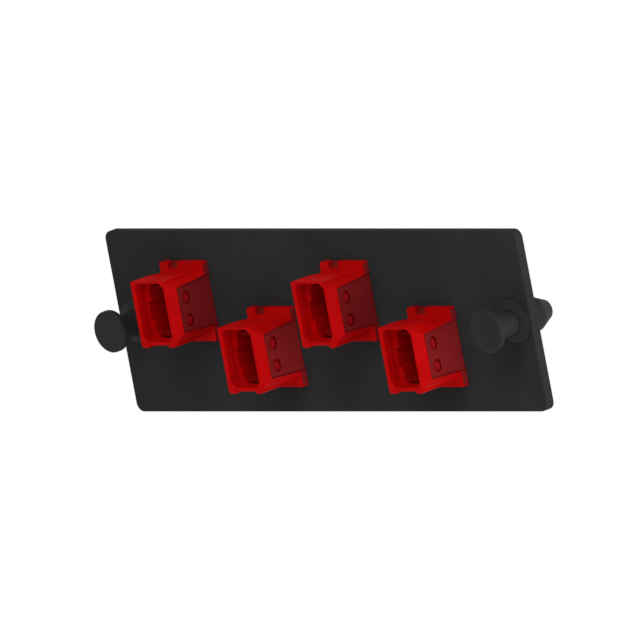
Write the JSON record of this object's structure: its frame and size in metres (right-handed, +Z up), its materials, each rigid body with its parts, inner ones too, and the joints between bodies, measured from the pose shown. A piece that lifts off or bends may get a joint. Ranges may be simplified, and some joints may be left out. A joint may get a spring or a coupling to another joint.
{
  "type": "mpo fibre adapter panel",
  "caption": "Black plate with rounded corners that holds staggered red multi-fibre adapters, with a push-pull latch at each end to fix it in a fibre enclosure.",
  "frame": {"origin": "centre of the plate's back face, which seats on the enclosure", "axes": "+X along the plate, +Y out of the back face, +Z up"},
  "size_m": [0.1296, 0.0262, 0.0418],
  "materials": {
    "plate_coating": "fine matt powder coat",
    "adapter_shell": "moulded, satin",
    "latch_moulding": "moulded, matt",
    "clip_steel": "bright spring sheet",
    "fastener_plastic": "moulded, satin"
  },
  "bodies": {
    "panel": {"panel_plate": "plate_coating", "adapter_1_front_housing": "adapter_shell", "adapter_1_rear_housing": "adapter_shell", "adapter_1_front_latch": "latch_moulding", "adapter_1_rear_latch": "latch_moulding", "adapter_1_clip": "clip_steel", "adapter_2_front_housing": "adapter_shell", "adapter_2_rear_housing": "adapter_shell", "adapter_2_front_latch": "latch_moulding", "adapter_2_rear_latch": "latch_moulding", "adapter_2_clip": "clip_steel", "adapter_3_front_housing": "adapter_shell", "adapter_3_rear_housing": "adapter_shell", "adapter_3_front_latch": "latch_moulding", "adapter_3_rear_latch": "latch_moulding", "adapter_3_clip": "clip_steel", "adapter_4_front_housing": "adapter_shell", "adapter_4_rear_housing": "adapter_shell", "adapter_4_front_latch": "latch_moulding", "adapter_4_rear_latch": "latch_moulding", "adapter_4_clip": "clip_steel", "left_grommet": "fastener_plastic", "right_grommet": "fastener_plastic"},
    "left_plunger": {"left_plunger": "fastener_plastic"},
    "right_plunger": {"right_plunger": "fastener_plastic"}
  },
  "joints": [
    {"name": "left_plunger_slide", "type": "slide", "parent": "panel", "child": "left_plunger", "axis": [0, 1, 0], "range_m": [0, 0.0065]},
    {"name": "right_plunger_slide", "type": "slide", "parent": "panel", "child": "right_plunger", "axis": [0, 1, 0], "range_m": [0, 0.0065]}
  ]
}
